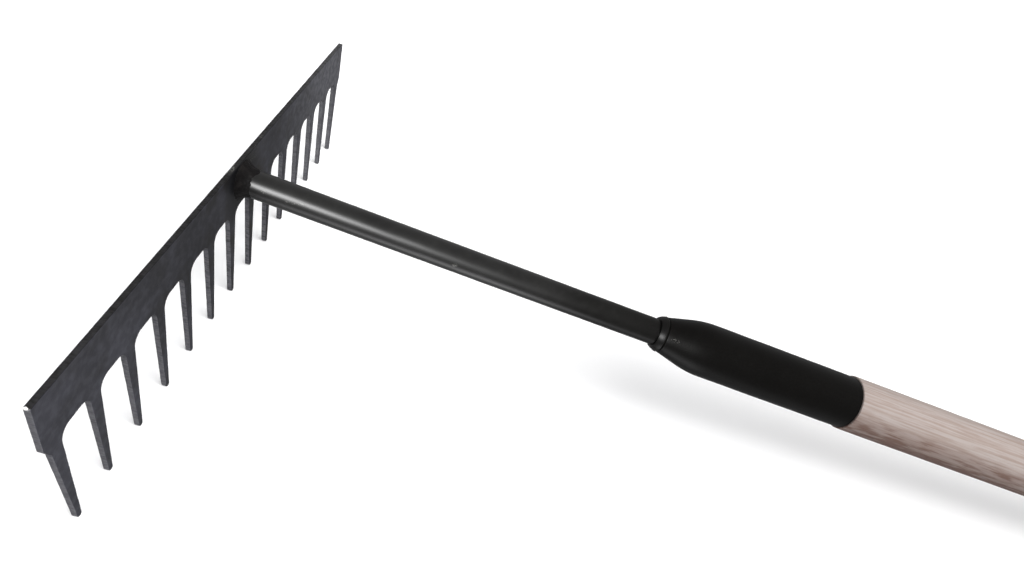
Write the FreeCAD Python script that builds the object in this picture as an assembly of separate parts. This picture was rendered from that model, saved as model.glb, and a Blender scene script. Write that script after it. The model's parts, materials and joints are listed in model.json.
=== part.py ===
import FreeCAD, Part
import math
import os

# Straight-neck garden rake: a toothed plate, a neck bar, a socket and a wooden handle.
#
# Three frames are used, all in millimetres:
#   plate frame  - X along the toothed plate, Y out of its front face, Z up from the tine tips
#   shaft frame  - Y along the neck, socket and handle, from the plate's front face, Z up
#   rake frame   - the finished part at rest on the floor, Z up, +Y towards the grip

# Toothed plate
TINE_COUNT = 14
TINE_PITCH = 27.0
TINE_LENGTH = 62.3
TINE_ROOT_WIDTH = 7.8
TINE_TIP_WIDTH = 3.0
TIP_RADIUS = 1.4
GAP_CORNER_RADIUS = 6.2
BAND_HEIGHT = 28.0
PLATE_THICKNESS = 3.1
END_MARGIN = 6.4            # plate end, measured outwards from the last tine's middle line
SHOULDER_STEP = 3.2         # how far the last tine's outer edge steps in below the band
SHOULDER_HEIGHT = 6.5
END_TINE_TIP_INSET = 2.1    # how much nearer the middle the last tine's tip is than its root
PLATE_EDGE_RADIUS = 0.35
PLATE_CORNER_RADIUS = 0.8

# Neck bar
NECK_DIAMETER = 17.0
NECK_SLOPE_DEG = 5.0        # how much the shaft drops below the plate's normal
NECK_END_CHAMFER = 1.5
NECK_ABOVE_BAND_MIDDLE = 0.7

# Welds
HEAD_WELD_LEG_ON_PLATE = 4.2
HEAD_WELD_LEG_ON_NECK = 8.0
HEAD_WELD_BAND_MARGIN = 0.6
HEAD_WELD_HOLLOW = (0.3, 0.34)   # the face's middle point, as shares of its two legs
RING_WELD_HEIGHT = 3.3
RING_WELD_LENGTH = 4.8
RING_WELD_CROWN = 0.55       # where it is highest, as a share of its length
RING_WELD_FRONT_STEP = 0.2   # height of its edge towards the head, as a share of its own
RING_WELD_BACK_STEP = 0.85

# Socket
SOCKET_START = 269.0        # distance of the small end from the plate, along the shaft
SOCKET_LENGTH = 134.6
SOCKET_DIAMETER = 35.0
SOCKET_WALL = 1.6
SOCKET_SMALL_END_WALL = 2.9
SOCKET_SMALL_END_ROUND = 1.1
SOCKET_CONE_LENGTH = 23.8
SOCKET_SHOULDER_RADIUS = 65.0
SOCKET_BORE_SHOULDER_RADIUS = 21.7
SOCKET_NECK_SEAT = 6.0
NECK_IN_SOCKET = 14.0

# Handle
HANDLE_LENGTH = 1500.0
HANDLE_PROUD = 0.9         # how far the handle stands out past the socket, on the radius
HANDLE_SHOULDER_CHAMFER = 0.6
HANDLE_BUTT_RADIUS = 9.0
TENON_LENGTH = 92.0
TENON_CLEARANCE = 0.05
TENON_CHAMFER = 3.0

# Screw that holds the handle
SCREW_FROM_MOUTH = 30.0
SCREW_LENGTH = 25.0
SCREW_DIAMETER = 4.5
SCREW_HEAD_DIAMETER = 9.0
SCREW_HEAD_DOME = 0.9
SCREW_HEAD_SINK = 0.4
SCREW_DOME_MIDDLE = (0.55, 0.75)   # a point on the dome, as shares of its radius and height
SCREW_POINT_LENGTH = 6.0
SCREW_CROSS_LENGTH = 5.0
SCREW_CROSS_WIDTH = 0.9
SCREW_CROSS_DEPTH = 1.7

# Worked out from the values above
NECK_RADIUS = NECK_DIAMETER / 2
SOCKET_RADIUS = SOCKET_DIAMETER / 2
SOCKET_MOUTH = SOCKET_START + SOCKET_LENGTH
HANDLE_RADIUS = SOCKET_RADIUS + HANDLE_PROUD
HANDLE_END = SOCKET_MOUTH - TENON_LENGTH + HANDLE_LENGTH
PLATE_HEIGHT = TINE_LENGTH + BAND_HEIGHT
NECK_HEIGHT = TINE_LENGTH + BAND_HEIGHT / 2 + NECK_ABOVE_BAND_MIDDLE
PLATE_HALF_WIDTH = (TINE_COUNT - 1) * TINE_PITCH / 2 + END_MARGIN

ORIGIN = FreeCAD.Vector(0, 0, 0)
X_AXIS = FreeCAD.Vector(1, 0, 0)
Y_AXIS = FreeCAD.Vector(0, 1, 0)
Z_AXIS = FreeCAD.Vector(0, 0, 1)


def rounded_wire(corners, to_point):
    """Closed wire through corners (u, v, radius), with each corner rounded by its radius."""
    flat = [FreeCAD.Vector(u, v, 0) for u, v, _ in corners]
    edges = []
    stops = []
    for index, (_, _, radius) in enumerate(corners):
        here = flat[index]
        back = (flat[index - 1] - here).normalize()
        ahead = (flat[(index + 1) % len(flat)] - here).normalize()
        if radius <= 0:
            stops.append((here, None, here))
            continue
        half_angle = back.getAngle(ahead) / 2
        cut_back = radius / math.tan(half_angle)
        to_centre = radius / math.sin(half_angle)
        inward = (back + ahead).normalize()
        middle = here + inward * (to_centre - radius)
        stops.append((here + back * cut_back, middle, here + ahead * cut_back))
    for index, (start, middle, end) in enumerate(stops):
        if middle is not None:
            edges.append(Part.Arc(to_point(start), to_point(middle), to_point(end)).toShape())
        following = stops[(index + 1) % len(stops)][0]
        if end.distanceToPoint(following) > 1e-6:
            edges.append(Part.LineSegment(to_point(end), to_point(following)).toShape())
    return Part.Wire(edges)


def turned(corners):
    """Solid of revolution about the shaft, from corners (radius, distance along, rounding)."""
    wire = rounded_wire(corners, lambda p: FreeCAD.Vector(p.x, p.y, 0))
    return Part.Face(wire).revolve(ORIGIN, Y_AXIS, 360)


def tine_corners(middle):
    """Right-hand corners of one tine, from its root down to its tip and back up."""
    root = TINE_ROOT_WIDTH / 2
    tip = TINE_TIP_WIDTH / 2
    gap_corner = min(GAP_CORNER_RADIUS, 0.45 * (TINE_PITCH - TINE_ROOT_WIDTH))
    tip_round = min(TIP_RADIUS, 0.95 * tip)
    return [
        (middle + root, TINE_LENGTH, gap_corner),
        (middle + tip, 0, tip_round),
        (middle - tip, 0, tip_round),
        (middle - root, TINE_LENGTH, gap_corner),
    ]


def end_tine_corners(middle, side):
    """Corners of a tine at the plate's end, from the band's end inwards, for side +1 or -1."""
    root = TINE_ROOT_WIDTH / 2
    tip = TINE_TIP_WIDTH / 2
    gap_corner = min(GAP_CORNER_RADIUS, 0.45 * (TINE_PITCH - TINE_ROOT_WIDTH))
    tip_round = min(TIP_RADIUS, 0.95 * tip)
    tip_middle = middle - END_TINE_TIP_INSET * side
    outer = PLATE_HALF_WIDTH * side
    stepped = outer - SHOULDER_STEP * side
    return [
        (outer, TINE_LENGTH, PLATE_CORNER_RADIUS),
        (stepped, TINE_LENGTH - SHOULDER_HEIGHT, PLATE_CORNER_RADIUS),
        (tip_middle + tip * side, 0, tip_round),
        (tip_middle - tip * side, 0, tip_round),
        (middle - root * side, TINE_LENGTH, gap_corner),
    ]


def toothed_head():
    """Flat plate with tapered tines, front face at Y = 0, in the plate frame."""
    last = (TINE_COUNT - 1) / 2
    corners = [
        (-PLATE_HALF_WIDTH, PLATE_HEIGHT, PLATE_CORNER_RADIUS),
        (PLATE_HALF_WIDTH, PLATE_HEIGHT, PLATE_CORNER_RADIUS),
    ]
    corners += end_tine_corners(last * TINE_PITCH, 1)
    for index in range(1, TINE_COUNT - 1):
        corners += tine_corners((last - index) * TINE_PITCH)
    corners += reversed(end_tine_corners(-last * TINE_PITCH, -1))
    wire = rounded_wire(corners, lambda p: FreeCAD.Vector(p.x, 0, p.y))
    plate = Part.Face(wire).extrude(FreeCAD.Vector(0, -PLATE_THICKNESS, 0))
    rims = [e for e in plate.Edges if e.BoundBox.YLength < PLATE_THICKNESS / 2]
    return plate.makeFillet(PLATE_EDGE_RADIUS, rims)


def in_front_of_plate(shape):
    """The part of a plate-frame shape that lies in front of the plate's front face."""
    reach = 2 * HANDLE_LENGTH
    corner = FreeCAD.Vector(-reach / 2, -reach, -reach / 2)
    return shape.cut(Part.makeBox(reach, reach, reach, corner))


def neck_bar():
    """Round bar from the plate's front face to just inside the socket."""
    start = -NECK_RADIUS
    end = SOCKET_START + NECK_IN_SOCKET
    bar = turned([
        (0, start, 0),
        (NECK_RADIUS, start, 0),
        (NECK_RADIUS, end - NECK_END_CHAMFER, 0),
        (NECK_RADIUS - NECK_END_CHAMFER, end, 0),
        (0, end, 0),
    ])
    return in_front_of_plate(on_plate(bar))


def head_weld():
    """Hollow-faced weld fillet round the neck's foot, up to the plate's front face."""
    room_above = PLATE_HEIGHT - NECK_HEIGHT - HEAD_WELD_BAND_MARGIN
    foot = min(NECK_RADIUS + HEAD_WELD_LEG_ON_PLATE, room_above)
    hollow_out, hollow_along = HEAD_WELD_HOLLOW
    below = -foot
    rise = HEAD_WELD_LEG_ON_NECK
    leg = foot - NECK_RADIUS
    top = FreeCAD.Vector(NECK_RADIUS, rise, 0)
    middle = FreeCAD.Vector(NECK_RADIUS + hollow_out * leg, hollow_along * rise, 0)
    bottom = FreeCAD.Vector(foot, 0, 0)
    outer_low = FreeCAD.Vector(foot, below, 0)
    inner_low = FreeCAD.Vector(NECK_RADIUS, below, 0)
    wire = Part.Wire([
        Part.Arc(top, middle, bottom).toShape(),
        Part.LineSegment(bottom, outer_low).toShape(),
        Part.LineSegment(outer_low, inner_low).toShape(),
        Part.LineSegment(inner_low, top).toShape(),
    ])
    ring = Part.Face(wire).revolve(ORIGIN, Y_AXIS, 360)
    return in_front_of_plate(on_plate(ring))


def socket_weld():
    """Rounded weld ring on the neck, against the socket's small end."""
    start = SOCKET_START - RING_WELD_LENGTH
    crown = NECK_RADIUS + RING_WELD_HEIGHT
    edge = NECK_RADIUS + RING_WELD_FRONT_STEP * RING_WELD_HEIGHT
    back_edge = NECK_RADIUS + RING_WELD_BACK_STEP * RING_WELD_HEIGHT
    a = FreeCAD.Vector(NECK_RADIUS, start, 0)
    b = FreeCAD.Vector(edge, start, 0)
    c = FreeCAD.Vector(crown, start + RING_WELD_CROWN * RING_WELD_LENGTH, 0)
    d = FreeCAD.Vector(back_edge, SOCKET_START, 0)
    e = FreeCAD.Vector(NECK_RADIUS, SOCKET_START, 0)
    wire = Part.Wire([
        Part.LineSegment(a, b).toShape(),
        Part.Arc(b, c, d).toShape(),
        Part.LineSegment(d, e).toShape(),
        Part.LineSegment(e, a).toShape(),
    ])
    return on_plate(Part.Face(wire).revolve(ORIGIN, Y_AXIS, 360))


def screw_side():
    """The screw's side from its head's rim to its point, as points (radius, drop below the shaft)."""
    head = SCREW_HEAD_DIAMETER / 2
    shank = SCREW_DIAMETER / 2
    seat = SOCKET_RADIUS - SCREW_HEAD_SINK
    tip = SOCKET_RADIUS - SCREW_LENGTH
    return [(head, seat), (shank, seat - (head - shank)), (shank, tip + SCREW_POINT_LENGTH), (0, tip)]


def below_shaft(stations):
    """Points (radius, drop) as vectors under the shaft."""
    return [FreeCAD.Vector(radius, 0, -drop) for radius, drop in stations]


def handle_screw_in_shaft_frame():
    """Countersunk wood screw, head down, driven up through the socket into the tenon."""
    side = screw_side()
    head, seat = side[0]
    top = seat + SCREW_HEAD_DOME
    dome_out, dome_up = SCREW_DOME_MIDDLE
    dome_points = below_shaft([(0, top), (dome_out * head, seat + dome_up * SCREW_HEAD_DOME), (head, seat)])
    points = below_shaft(side + [(0, top)])
    edges = [Part.Arc(*dome_points).toShape()]
    edges += [Part.LineSegment(a, b).toShape() for a, b in zip(points, points[1:])]
    screw = Part.Face(Part.Wire(edges)).revolve(ORIGIN, Z_AXIS, 360)
    for length, width in (
        (SCREW_CROSS_LENGTH, SCREW_CROSS_WIDTH),
        (SCREW_CROSS_WIDTH, SCREW_CROSS_LENGTH),
    ):
        corner = FreeCAD.Vector(-length / 2, -width / 2, -top)
        screw = screw.cut(Part.makeBox(length, width, SCREW_CROSS_DEPTH, corner))
    screw.translate(FreeCAD.Vector(0, SOCKET_MOUTH - SCREW_FROM_MOUTH, 0))
    return screw


def screw_hole_in_shaft_frame():
    """The space the screw takes, with its cross recess filled and its head's way in open."""
    side = screw_side()
    head = side[0][0]
    outside = SOCKET_RADIUS + head
    points = below_shaft([(0, outside), (head, outside)] + side)
    face = Part.Face(Part.makePolygon(points + points[:1]))
    hole = face.revolve(ORIGIN, Z_AXIS, 360)
    hole.translate(FreeCAD.Vector(0, SOCKET_MOUTH - SCREW_FROM_MOUTH, 0))
    return hole


def socket():
    """Tube drawn down to a cone at the neck end, square and open at the handle end."""
    small_end = NECK_RADIUS + SOCKET_SMALL_END_WALL
    cone_end = SOCKET_START + SOCKET_CONE_LENGTH
    bore = SOCKET_RADIUS - SOCKET_WALL
    tube = turned([
        (NECK_RADIUS, SOCKET_START, 0),
        (small_end, SOCKET_START, SOCKET_SMALL_END_ROUND),
        (SOCKET_RADIUS, cone_end, SOCKET_SHOULDER_RADIUS),
        (SOCKET_RADIUS, SOCKET_MOUTH, 0),
        (bore, SOCKET_MOUTH, 0),
        (bore, cone_end, SOCKET_BORE_SHOULDER_RADIUS),
        (NECK_RADIUS, SOCKET_START + SOCKET_NECK_SEAT, 0),
    ])
    return on_plate(tube.cut(screw_hole_in_shaft_frame()))


def handle():
    """Straight wooden shaft with a rounded butt and a tenon turned to fit the socket."""
    tenon = SOCKET_RADIUS - SOCKET_WALL - TENON_CLEARANCE
    start = SOCKET_MOUTH - TENON_LENGTH
    shaft = turned([
        (0, start, 0),
        (tenon - TENON_CHAMFER, start, 0),
        (tenon, start + TENON_CHAMFER, 0),
        (tenon, SOCKET_MOUTH, 0),
        (HANDLE_RADIUS - HANDLE_SHOULDER_CHAMFER, SOCKET_MOUTH, 0),
        (HANDLE_RADIUS, SOCKET_MOUTH + HANDLE_SHOULDER_CHAMFER, 0),
        (HANDLE_RADIUS, HANDLE_END, HANDLE_BUTT_RADIUS),
        (0, HANDLE_END, 0),
    ])
    return on_plate(shaft.cut(screw_hole_in_shaft_frame()))


def on_plate(shape):
    """Carry a shape from the shaft frame to the plate frame."""
    slope = FreeCAD.Rotation(X_AXIS, -NECK_SLOPE_DEG)
    foot = FreeCAD.Vector(0, 0, NECK_HEIGHT)
    return shape.transformed(FreeCAD.Placement(foot, slope).toMatrix())


def resting_tilt():
    """Angle that brings the tine tips and the handle's butt down to one floor, in degrees.

    Both rest on a small rounding. With the shaft's slope a, the tilt t solves
    A cos t + B sin t = C, where each term is a height or a reach of those two roundings.
    """
    slope = math.radians(NECK_SLOPE_DEG)
    reach = HANDLE_END - HANDLE_BUTT_RADIUS
    drop = HANDLE_RADIUS - HANDLE_BUTT_RADIUS
    edge = PLATE_EDGE_RADIUS
    a = NECK_HEIGHT - reach * math.sin(slope) - drop * math.cos(slope) - edge
    b = reach * math.cos(slope) - drop * math.sin(slope) + PLATE_THICKNESS - edge
    c = HANDLE_BUTT_RADIUS - edge
    return math.degrees(math.atan2(b, a) - math.acos(c / math.hypot(a, b)))


def at_rest(shapes):
    """Tilt all shapes onto the floor, and centre the whole rake over the origin."""
    tilt = FreeCAD.Placement(ORIGIN, FreeCAD.Rotation(X_AXIS, resting_tilt()))
    tilted = {name: shape.transformed(tilt.toMatrix()) for name, shape in shapes.items()}
    box = Part.makeCompound(list(tilted.values())).optimalBoundingBox(False, False)
    shift = FreeCAD.Vector(-box.Center.x, -box.Center.y, -box.ZMin)
    for shape in tilted.values():
        shape.translate(shift)
    return tilted


def rake():
    """Every piece of the rake, by node name, in the rake frame."""
    return at_rest({
        "toothed_head": toothed_head(),
        "head_weld": head_weld(),
        "neck_bar": neck_bar(),
        "socket_weld": socket_weld(),
        "socket": socket(),
        "handle": handle(),
        "handle_screw": on_plate(handle_screw_in_shaft_frame()),
    })


os.makedirs("parts", exist_ok=True)
for node, shape in rake().items():
    shape.exportStep("parts/" + node + ".step")
    box = shape.BoundBox
    print(f"{node}: {len(shape.Solids)} solid, {shape.Volume:.1f} mm3, valid {shape.isValid()}")
    print(f"  x {box.XMin:.2f} {box.XMax:.2f}, y {box.YMin:.2f} {box.YMax:.2f}, "
          f"z {box.ZMin:.2f} {box.ZMax:.2f}")
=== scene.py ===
import json
import logging
import math
from dataclasses import dataclass, field
from enum import Enum
from typing import Union

import bmesh
import bpy
import numpy as np
from mathutils import Matrix, Vector


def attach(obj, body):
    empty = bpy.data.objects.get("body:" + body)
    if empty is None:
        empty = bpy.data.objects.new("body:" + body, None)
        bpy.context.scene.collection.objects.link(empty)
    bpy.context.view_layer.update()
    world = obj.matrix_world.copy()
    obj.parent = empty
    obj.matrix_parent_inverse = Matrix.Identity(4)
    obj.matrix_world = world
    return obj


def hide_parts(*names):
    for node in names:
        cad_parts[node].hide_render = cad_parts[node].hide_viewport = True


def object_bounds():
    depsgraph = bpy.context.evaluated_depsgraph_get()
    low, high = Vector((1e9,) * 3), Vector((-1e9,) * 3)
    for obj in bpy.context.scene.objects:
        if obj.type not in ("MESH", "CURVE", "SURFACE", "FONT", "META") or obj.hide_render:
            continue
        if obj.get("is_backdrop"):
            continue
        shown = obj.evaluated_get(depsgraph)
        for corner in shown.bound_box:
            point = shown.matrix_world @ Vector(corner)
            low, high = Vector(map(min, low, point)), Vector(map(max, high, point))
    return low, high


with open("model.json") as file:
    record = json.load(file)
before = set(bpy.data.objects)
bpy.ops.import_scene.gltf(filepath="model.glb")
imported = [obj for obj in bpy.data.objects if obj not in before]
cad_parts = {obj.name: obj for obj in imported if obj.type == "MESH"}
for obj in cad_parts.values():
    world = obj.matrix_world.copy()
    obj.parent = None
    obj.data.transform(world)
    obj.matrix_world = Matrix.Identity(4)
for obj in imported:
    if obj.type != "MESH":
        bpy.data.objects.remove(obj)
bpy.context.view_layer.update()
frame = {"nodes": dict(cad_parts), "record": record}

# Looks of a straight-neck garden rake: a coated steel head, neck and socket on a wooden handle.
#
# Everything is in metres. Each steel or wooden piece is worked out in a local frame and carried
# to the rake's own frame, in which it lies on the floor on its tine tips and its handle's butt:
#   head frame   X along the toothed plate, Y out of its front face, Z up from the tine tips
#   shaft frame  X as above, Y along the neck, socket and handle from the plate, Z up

MM = 0.001
FULL_TURN = 2.0 * math.pi
TURNED_SIDES = 128
TURNED_CREASE_DEG = 40.0
DRIFT_PER_METRE = 40.0

log = logging.getLogger("rake")

Colour = tuple[float, float, float]
Triple = tuple[float, float, float]


# ---------------------------------------------------------------- shader graphs


class Signal:
    """One output of a node, with arithmetic that adds Math nodes."""

    def __init__(self, graph: "Graph", socket: bpy.types.NodeSocket) -> None:
        """Wrap one output socket of a graph."""
        self.graph = graph
        self.socket = socket

    def math(self, operation: str, *others: "Operand") -> "Signal":
        """One Math node on this number.

        Args:
            operation: the Math node's operation.
            others: its second and third inputs, where it has them.

        Returns:
            The node's result.
        """
        values = {0: self, **{place: other for place, other in enumerate(others, start=1)}}
        return self.graph.node("ShaderNodeMath", {"operation": operation}, values)

    def __add__(self, other: "Operand") -> "Signal":
        """This plus other."""
        return self.math("ADD", other)

    def __sub__(self, other: "Operand") -> "Signal":
        """This minus other."""
        return self.math("SUBTRACT", other)

    def __rsub__(self, other: "Operand") -> "Signal":
        """Other minus this."""
        return self.graph.node("ShaderNodeMath", {"operation": "SUBTRACT"}, {0: other, 1: self})

    def __mul__(self, other: "Operand") -> "Signal":
        """This times other."""
        return self.math("MULTIPLY", other)

    def __truediv__(self, other: "Operand") -> "Signal":
        """This divided by other."""
        return self.math("DIVIDE", other)

    __radd__ = __add__
    __rmul__ = __mul__

    def between(self, low: float, high: float) -> "Signal":
        """A smooth step on this number.

        Args:
            low: the value that gives 0.
            high: the value that gives 1; it may be the lower of the two.

        Returns:
            A number from 0 to 1.
        """
        settings = {"interpolation_type": "SMOOTHSTEP"}
        values = {"Value": self, "From Min": low, "From Max": high}
        return self.graph.node("ShaderNodeMapRange", settings, values)


Operand = Union[Signal, float, int, tuple]


class Graph:
    """A node tree under construction."""

    def __init__(self, tree: bpy.types.NodeTree) -> None:
        """Start on an emptied tree."""
        tree.nodes.clear()
        self.tree = tree

    def node(self, kind: str, settings: dict, values: dict, output: Union[int, str] = 0) -> Signal:
        """Add one node.

        Args:
            kind: the node's type.
            settings: the node's own properties.
            values: numbers, tuples or signals for its input sockets, by name or index.
            output: the name or index of the output that is wanted.

        Returns:
            That output.
        """
        added = self.tree.nodes.new(kind)
        for name, value in settings.items():
            setattr(added, name, value)
        for place, value in values.items():
            if isinstance(value, Signal):
                self.tree.links.new(value.socket, added.inputs[place])
            else:
                added.inputs[place].default_value = value
        return Signal(self, added.outputs[output]) if len(added.outputs) else None

    def position(self, local: "LocalFrame") -> Signal:
        """Object coordinates, turned and moved into a local frame."""
        place = self.node("ShaderNodeTexCoord", {}, {}, "Object")
        turn = (local.tilt, 0.0, 0.0)
        values = {"Vector": place, "Location": tuple(local.origin), "Rotation": turn}
        return self.node("ShaderNodeMapping", {"vector_type": "TEXTURE"}, values)

    def stretched(self, place: Signal, scale: Triple) -> Signal:
        """A position multiplied by a scale along each axis."""
        return self.node("ShaderNodeVectorMath", {"operation": "MULTIPLY"}, {0: place, 1: scale})

    def part(self, place: Signal, axis: str) -> Signal:
        """One coordinate, "X", "Y" or "Z", of a position."""
        return self.node("ShaderNodeSeparateXYZ", {}, {0: place}, axis)

    def noise(self, place: Signal, scale: Union[float, Triple], detail: float) -> Signal:
        """Noise from 0 to 1 at a position multiplied by a scale."""
        each = scale if isinstance(scale, tuple) else (scale, scale, scale)
        values = {"Vector": self.stretched(place, each), "Scale": 1.0, "Detail": detail}
        return self.node("ShaderNodeTexNoise", {}, values)

    def beyond(self, place: Signal, point: Triple) -> Signal:
        """A position seen from a point."""
        return self.node("ShaderNodeVectorMath", {"operation": "SUBTRACT"}, {0: place, 1: point})

    def length(self, vector: Signal) -> Signal:
        """A vector's length."""
        return self.node("ShaderNodeVectorMath", {"operation": "LENGTH"}, {0: vector}, "Value")

    def dot(self, vector: Signal, way: np.ndarray) -> Signal:
        """How far a vector reaches along a direction."""
        values = {0: vector, 1: tuple(float(x) for x in way)}
        return self.node("ShaderNodeVectorMath", {"operation": "DOT_PRODUCT"}, values, "Value")

    def mix(self, factor: Operand, first: Operand, second: Operand) -> Signal:
        """A colour between first and second."""
        values = {0: factor, 6: self._colour(first), 7: self._colour(second)}
        return self.node("ShaderNodeMix", {"data_type": "RGBA"}, values, 2)

    @staticmethod
    def _colour(value: Operand) -> Operand:
        """A colour with its alpha added, or a signal as it is."""
        return value if isinstance(value, Signal) else (*value, 1.0)

    def bump(self, height: Signal, depth: float) -> Signal:
        """A normal from a height, whose unit is a depth in metres."""
        values = {"Height": height, "Distance": depth, "Strength": 1.0}
        return self.node("ShaderNodeBump", {}, values, "Normal")

    def surface(self, values: dict) -> None:
        """Close a material with a Principled shader and these socket values."""
        shader = self.node("ShaderNodeBsdfPrincipled", {}, values, "BSDF")
        self.node("ShaderNodeOutputMaterial", {}, {"Surface": shader})


def new_material(name: str) -> tuple[bpy.types.Material, Graph]:
    """An empty node material and its graph."""
    material = bpy.data.materials.new(name)
    material.use_nodes = True
    return material, Graph(material.node_tree)


# ---------------------------------------------------------------- frames and meshes


@dataclass
class LocalFrame:
    """A frame that is turned about the rake's X axis and moved.

    Attributes:
        origin: where its origin is, in the rake's frame.
        along: the direction of its Y axis there.
    """

    origin: np.ndarray
    along: np.ndarray

    @property
    def tilt(self) -> float:
        """Its turn about X, in radians."""
        return math.atan2(self.along[2], self.along[1])

    @property
    def axes(self) -> np.ndarray:
        """Its three axes, as rows."""
        across = np.array([1.0, 0.0, 0.0])
        return np.stack([across, self.along, np.cross(across, self.along)])

    def to_rake(self, points: np.ndarray) -> np.ndarray:
        """Points of this frame, an array whose last axis is XYZ, in the rake's frame."""
        return self.origin + points @ self.axes

    def from_rake(self, points: np.ndarray) -> np.ndarray:
        """Points of the rake's frame, in this frame."""
        return (points - self.origin) @ self.axes.T


def node_points(name: str) -> np.ndarray:
    """The vertices of a CAD node, in the rake's frame."""
    vertices = frame["nodes"][name].data.vertices
    flat = np.empty(len(vertices) * 3, np.float32)
    vertices.foreach_get("co", flat)
    return flat.reshape(-1, 3).astype(float)


def mount(name: str) -> tuple[np.ndarray, np.ndarray]:
    """The point and the direction of one of the record's mounts."""
    found = next(m for m in frame["record"]["mounts"] if m["name"] == name)
    return np.array(found["pos_m"], float), np.array(found["axis"], float)


def head_frame() -> LocalFrame:
    """The toothed plate's frame, from the back face's mount and the plate's own corners."""
    _, backwards = mount("head_back")
    loose = LocalFrame(np.zeros(3), -backwards / np.linalg.norm(backwards))
    reach = loose.from_rake(node_points("toothed_head"))
    corner = np.array([0.0, reach[:, 1].max(), reach[:, 2].min()])
    return LocalFrame(loose.to_rake(corner), loose.along)


def shaft_frame(head: LocalFrame) -> LocalFrame:
    """The shaft's frame, from the grip's mount, starting on the plate's front face."""
    point, along = mount("handle_grip")
    along = along / np.linalg.norm(along)
    back_to_plate = head.from_rake(point)[1] / (along @ head.along)
    return LocalFrame(point - along * back_to_plate, along)


def grid_faces(rows: int, columns: int, wrap_rows: bool, wrap_columns: bool) -> np.ndarray:
    """Quads over a grid of points numbered row by row.

    Args:
        rows: how many rows of points there are.
        columns: how many points a row has.
        wrap_rows: join the last row to the first.
        wrap_columns: join each row's last point to its first.

    Returns:
        One row of four point numbers for each quad.
    """
    row = np.arange(rows if wrap_rows else rows - 1)[:, None]
    column = np.arange(columns if wrap_columns else columns - 1)[None, :]
    next_row = (row + 1) % rows
    next_column = (column + 1) % columns
    corners = [
        row * columns + column,
        row * columns + next_column,
        next_row * columns + next_column,
        next_row * columns + column,
    ]
    shape = (row.size, column.size)
    return np.stack([np.broadcast_to(c, shape) for c in corners], -1).reshape(-1, 4)


def closed_mesh(
    name: str, points: np.ndarray, faces: list[np.ndarray], crease_deg: float
) -> bpy.types.Object:
    """Turn points and faces into an object with closed seams and outward normals.

    Args:
        name: the object's name.
        points: an array of positions in the rake's frame.
        faces: arrays of point numbers, each with its own number of corners.
        crease_deg: edges sharper than this stay sharp.

    Returns:
        The object, at the origin and not yet riding on anything.
    """
    totals = np.concatenate([np.full(len(group), group.shape[1]) for group in faces])
    starts = np.concatenate([[0], np.cumsum(totals)[:-1]])
    corners = np.concatenate([group.ravel() for group in faces])
    mesh = bpy.data.meshes.new(name)
    mesh.vertices.add(len(points))
    mesh.vertices.foreach_set("co", points.astype(np.float32).ravel())
    mesh.loops.add(len(corners))
    mesh.loops.foreach_set("vertex_index", corners.astype(np.int32))
    mesh.polygons.add(len(totals))
    mesh.polygons.foreach_set("loop_start", starts.astype(np.int32))
    mesh.update(calc_edges=True)
    shell = bmesh.new()
    shell.from_mesh(mesh)
    bmesh.ops.remove_doubles(shell, verts=shell.verts, dist=1e-7)
    bmesh.ops.recalc_face_normals(shell, faces=shell.faces)
    shell.to_mesh(mesh)
    shell.free()
    mesh.polygons.foreach_set("use_smooth", np.ones(len(mesh.polygons), bool))
    mesh.set_sharp_from_angle(angle=math.radians(crease_deg))
    piece = bpy.data.objects.new(name, mesh)
    bpy.context.scene.collection.objects.link(piece)
    return piece


def waves(at: np.ndarray, counts: range, seed: int) -> np.ndarray:
    """A smooth wandering value from about -1 to 1 that repeats over one turn.

    It is the sum of cosines of count times the angle, one for each count, with phases drawn
    from a seeded generator, divided by the root of half their number.

    Args:
        at: angles in radians.
        counts: how many times each cosine repeats in a turn.
        seed: the generator's seed.

    Returns:
        An array of at's shape.
    """
    rolls = np.random.default_rng(seed).uniform(0.0, FULL_TURN, len(counts))
    each = [np.cos(count * at + roll) for count, roll in zip(counts, rolls)]
    return np.sum(each, axis=0) / math.sqrt(2.0 * len(counts))


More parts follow.
